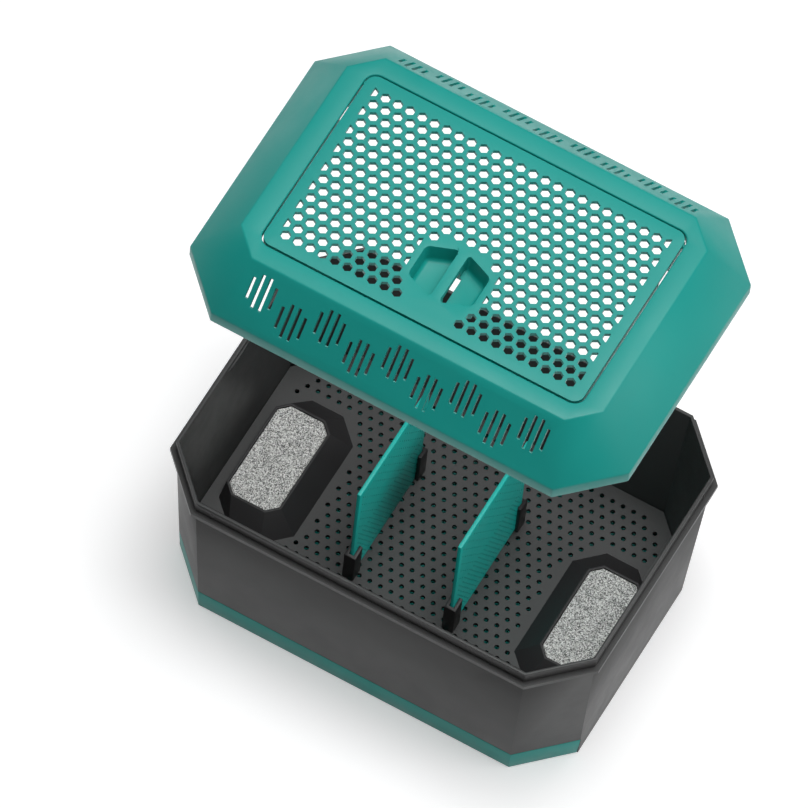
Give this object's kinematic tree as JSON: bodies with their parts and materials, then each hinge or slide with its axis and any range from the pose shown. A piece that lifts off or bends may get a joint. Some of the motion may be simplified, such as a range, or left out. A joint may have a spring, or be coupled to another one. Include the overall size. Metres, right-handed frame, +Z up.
{
  "type": "cricket keeper box",
  "caption": "Octagonal feeder-insect keeper with a sieve floor over a frass tray, board dividers, felt water feeders and a raised lift-off lid with a hinged mesh hatch.",
  "frame": {"origin": "on the table, under the middle of the tub", "axes": "+X along the long side of the tub, -Y towards the side that the frass tray pulls out of, +Z up"},
  "size_m": [0.306, 0.223, 0.4096],
  "materials": {
    "charcoal": "fine satin moulded",
    "dark": "satin moulded",
    "teal": "satin moulded",
    "felt": "needled felt, speckled grey"
  },
  "bodies": {
    "tub": {"tub": "charcoal"},
    "sieve": {"sieve_floor": "charcoal", "clip_left_front": "dark", "clip_left_back": "dark", "clip_right_front": "dark", "clip_right_back": "dark", "water_cup_left": "dark", "water_cup_right": "dark"},
    "tray": {"frass_tray": "teal"},
    "board_left": {"divider_left": "teal"},
    "board_right": {"divider_right": "teal"},
    "cover_left": {"feeder_cover_left": "dark"},
    "cover_right": {"feeder_cover_right": "dark"},
    "pad_left": {"felt_pad_left": "felt"},
    "pad_right": {"felt_pad_right": "felt"},
    "lid": {"lid_shell": "teal"},
    "hatch": {"hatch": "teal", "hinge_pin_left": "teal", "hinge_pin_right": "teal"}
  },
  "joints": [
    {"name": "lid_lift", "type": "slide", "parent": "tub", "child": "lid", "axis": [0, 0, 1], "range_m": [-0.2377, 0]},
    {"name": "hatch_hinge", "type": "hinge", "parent": "lid", "child": "hatch", "pos_m": [0, 0.0624, 0.4066], "axis": [-1, 0, 0], "range_deg": [0, 110]},
    {"name": "tray_slide", "type": "slide", "parent": "tub", "child": "tray", "axis": [0, -1, 0], "range_m": [0, 0.15]},
    {"name": "sieve_lift", "type": "slide", "parent": "tub", "child": "sieve", "axis": [0, 0, 1], "range_m": [0, 0.118]},
    {"name": "board_left_lift", "type": "slide", "parent": "sieve", "child": "board_left", "axis": [0, 0, 1], "range_m": [0, 0.114]},
    {"name": "board_right_lift", "type": "slide", "parent": "sieve", "child": "board_right", "axis": [0, 0, 1], "range_m": [0, 0.114]},
    {"name": "cover_left_lift", "type": "slide", "parent": "sieve", "child": "cover_left", "axis": [0, 0, 1], "range_m": [0, 0.114]},
    {"name": "cover_right_lift", "type": "slide", "parent": "sieve", "child": "cover_right", "axis": [0, 0, 1], "range_m": [0, 0.114]},
    {"name": "pad_left_lift", "type": "slide", "parent": "cover_left", "child": "pad_left", "axis": [0, 0, 1], "range_m": [0, 0.03]},
    {"name": "pad_right_lift", "type": "slide", "parent": "cover_right", "child": "pad_right", "axis": [0, 0, 1], "range_m": [0, 0.03]}
  ]
}
